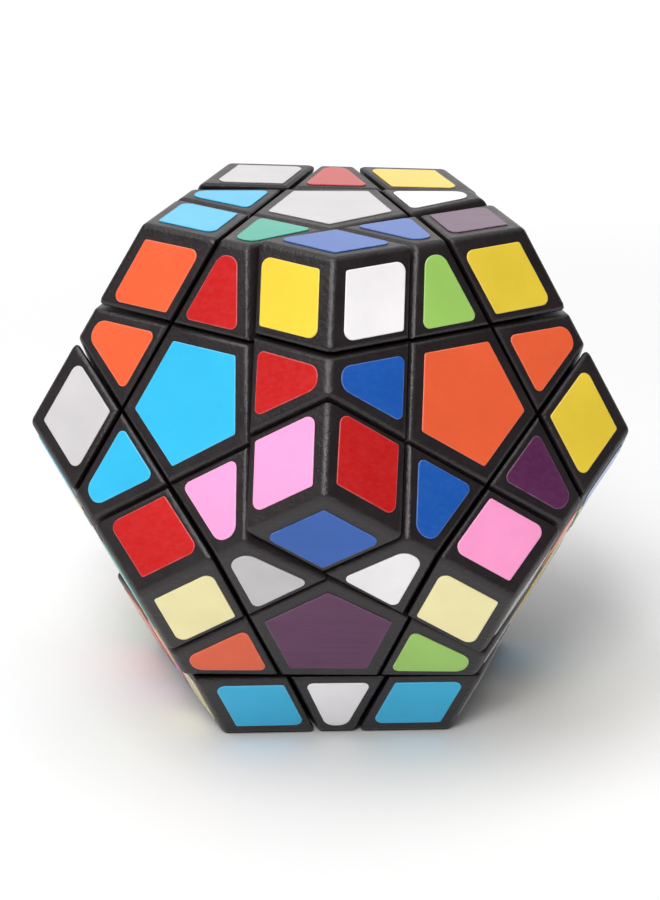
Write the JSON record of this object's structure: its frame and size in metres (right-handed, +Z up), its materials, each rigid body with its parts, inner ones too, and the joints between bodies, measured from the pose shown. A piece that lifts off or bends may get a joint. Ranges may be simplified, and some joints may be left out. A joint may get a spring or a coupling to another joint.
{
  "type": "twelve-faced twisty puzzle",
  "caption": "Dodecahedron twisty puzzle of black plastic with coloured stickers, scrambled; face layers turn about the core.",
  "frame": {"origin": "middle of the core, which is the middle of the whole puzzle", "axes": "+Z up through the top face; -Y towards the viewer, through the lower front face's side of the puzzle, with a vertex of the top face pointing along -Y"},
  "size_m": [0.0858, 0.0898, 0.0744],
  "materials": {
    "black_plastic": "black moulded plastic, semi-gloss, softly rounded edges",
    "core_plastic": "grey moulded nylon, matt",
    "screw_steel": "zinc-plated steel screw",
    "washer_steel": "plain steel washer",
    "spring_steel": "drawn spring wire",
    "sticker_set": "glossy vinyl stickers in twelve colours, mixed on this group",
    "sticker_white": "glossy white vinyl sticker, faint orange peel",
    "sticker_grey": "glossy grey vinyl sticker, faint orange peel",
    "sticker_yellow": "glossy yellow vinyl sticker, faint orange peel",
    "sticker_cream": "glossy cream vinyl sticker, faint orange peel",
    "sticker_orange": "glossy orange vinyl sticker, faint orange peel",
    "sticker_red": "glossy red vinyl sticker, faint orange peel",
    "sticker_pink": "glossy pink vinyl sticker, faint orange peel",
    "sticker_purple": "glossy purple vinyl sticker, faint orange peel",
    "sticker_blue": "glossy blue vinyl sticker, faint orange peel",
    "sticker_light_blue": "glossy light blue vinyl sticker, faint orange peel",
    "sticker_lime": "glossy lime vinyl sticker, faint orange peel",
    "sticker_green": "glossy green vinyl sticker, faint orange peel"
  },
  "bodies": {
    "core": {"core_spider": "core_plastic", "centre_screws": "screw_steel", "spring_washers": "washer_steel", "tension_springs": "spring_steel", "corners_fixed": "black_plastic", "edges_fixed": "black_plastic", "corner_stickers_fixed": "sticker_set", "edge_stickers_fixed": "sticker_set"},
    "upper_front_right_layer": {"corners_upper_front_right": "black_plastic", "edges_upper_front_right": "black_plastic", "corner_stickers_upper_front_right": "sticker_set", "edge_stickers_upper_front_right": "sticker_set"},
    "upper_back_layer": {"corners_upper_back": "black_plastic", "edges_upper_back": "black_plastic", "corner_stickers_upper_back": "sticker_set", "edge_stickers_upper_back": "sticker_set"},
    "bottom_layer": {"corners_bottom": "black_plastic", "edges_bottom": "black_plastic", "corner_stickers_bottom": "sticker_set", "edge_stickers_bottom": "sticker_set"},
    "centre_top": {"centre_base_top": "black_plastic", "centre_cap_top": "black_plastic", "centre_sticker_top": "sticker_grey"},
    "centre_upper_front_right": {"centre_base_upper_front_right": "black_plastic", "centre_cap_upper_front_right": "black_plastic", "centre_sticker_upper_front_right": "sticker_orange"},
    "centre_upper_right": {"centre_base_upper_right": "black_plastic", "centre_cap_upper_right": "black_plastic", "centre_sticker_upper_right": "sticker_lime"},
    "centre_upper_back": {"centre_base_upper_back": "black_plastic", "centre_cap_upper_back": "black_plastic", "centre_sticker_upper_back": "sticker_pink"},
    "centre_upper_left": {"centre_base_upper_left": "black_plastic", "centre_cap_upper_left": "black_plastic", "centre_sticker_upper_left": "sticker_cream"},
    "centre_upper_front_left": {"centre_base_upper_front_left": "black_plastic", "centre_cap_upper_front_left": "black_plastic", "centre_sticker_upper_front_left": "sticker_light_blue"},
    "centre_lower_front": {"centre_base_lower_front": "black_plastic", "centre_cap_lower_front": "black_plastic", "centre_sticker_lower_front": "sticker_purple"},
    "centre_lower_right": {"centre_base_lower_right": "black_plastic", "centre_cap_lower_right": "black_plastic", "centre_sticker_lower_right": "sticker_yellow"},
    "centre_lower_back_right": {"centre_base_lower_back_right": "black_plastic", "centre_cap_lower_back_right": "black_plastic", "centre_sticker_lower_back_right": "sticker_blue"},
    "centre_lower_back_left": {"centre_base_lower_back_left": "black_plastic", "centre_cap_lower_back_left": "black_plastic", "centre_sticker_lower_back_left": "sticker_red"},
    "centre_lower_left": {"centre_base_lower_left": "black_plastic", "centre_cap_lower_left": "black_plastic", "centre_sticker_lower_left": "sticker_green"},
    "centre_bottom": {"centre_base_bottom": "black_plastic", "centre_cap_bottom": "black_plastic", "centre_sticker_bottom": "sticker_white"}
  },
  "joints": [
    {"name": "upper_front_right_layer_turn", "type": "hinge", "parent": "core", "child": "upper_front_right_layer", "pos_m": [0, 0, 0], "axis": [0.5257, -0.7236, 0.4472], "continuous": true},
    {"name": "upper_back_layer_turn", "type": "hinge", "parent": "core", "child": "upper_back_layer", "pos_m": [0, 0, 0], "axis": [0, 0.8944, 0.4472], "continuous": true},
    {"name": "bottom_layer_turn", "type": "hinge", "parent": "core", "child": "bottom_layer", "pos_m": [0, 0, 0], "axis": [0, 0, -1], "continuous": true},
    {"name": "centre_top_lift", "type": "slide", "parent": "core", "child": "centre_top", "axis": [0, 0, 1], "range_m": [0, 0.0005], "stiffness_N_per_m": 800, "deforming": ["tension_springs"]},
    {"name": "centre_upper_front_right_lift", "type": "slide", "parent": "upper_front_right_layer", "child": "centre_upper_front_right", "axis": [0.5257, -0.7236, 0.4472], "range_m": [0, 0.0005], "stiffness_N_per_m": 800, "deforming": ["tension_springs"]},
    {"name": "centre_upper_right_lift", "type": "slide", "parent": "core", "child": "centre_upper_right", "axis": [0.8507, 0.2764, 0.4472], "range_m": [0, 0.0005], "stiffness_N_per_m": 800, "deforming": ["tension_springs"]},
    {"name": "centre_upper_back_lift", "type": "slide", "parent": "upper_back_layer", "child": "centre_upper_back", "axis": [0, 0.8944, 0.4472], "range_m": [0, 0.0005], "stiffness_N_per_m": 800, "deforming": ["tension_springs"]},
    {"name": "centre_upper_left_lift", "type": "slide", "parent": "core", "child": "centre_upper_left", "axis": [-0.8507, 0.2764, 0.4472], "range_m": [0, 0.0005], "stiffness_N_per_m": 800, "deforming": ["tension_springs"]},
    {"name": "centre_upper_front_left_lift", "type": "slide", "parent": "core", "child": "centre_upper_front_left", "axis": [-0.5257, -0.7236, 0.4472], "range_m": [0, 0.0005], "stiffness_N_per_m": 800, "deforming": ["tension_springs"]},
    {"name": "centre_lower_front_lift", "type": "slide", "parent": "core", "child": "centre_lower_front", "axis": [0, -0.8944, -0.4472], "range_m": [0, 0.0005], "stiffness_N_per_m": 800, "deforming": ["tension_springs"]},
    {"name": "centre_lower_right_lift", "type": "slide", "parent": "core", "child": "centre_lower_right", "axis": [0.8507, -0.2764, -0.4472], "range_m": [0, 0.0005], "stiffness_N_per_m": 800, "deforming": ["tension_springs"]},
    {"name": "centre_lower_back_right_lift", "type": "slide", "parent": "core", "child": "centre_lower_back_right", "axis": [0.5257, 0.7236, -0.4472], "range_m": [0, 0.0005], "stiffness_N_per_m": 800, "deforming": ["tension_springs"]},
    {"name": "centre_lower_back_left_lift", "type": "slide", "parent": "core", "child": "centre_lower_back_left", "axis": [-0.5257, 0.7236, -0.4472], "range_m": [0, 0.0005], "stiffness_N_per_m": 800, "deforming": ["tension_springs"]},
    {"name": "centre_lower_left_lift", "type": "slide", "parent": "core", "child": "centre_lower_left", "axis": [-0.8507, -0.2764, -0.4472], "range_m": [0, 0.0005], "stiffness_N_per_m": 800, "deforming": ["tension_springs"]},
    {"name": "centre_bottom_lift", "type": "slide", "parent": "bottom_layer", "child": "centre_bottom", "axis": [0, 0, -1], "range_m": [0, 0.0005], "stiffness_N_per_m": 800, "deforming": ["tension_springs"]}
  ]
}
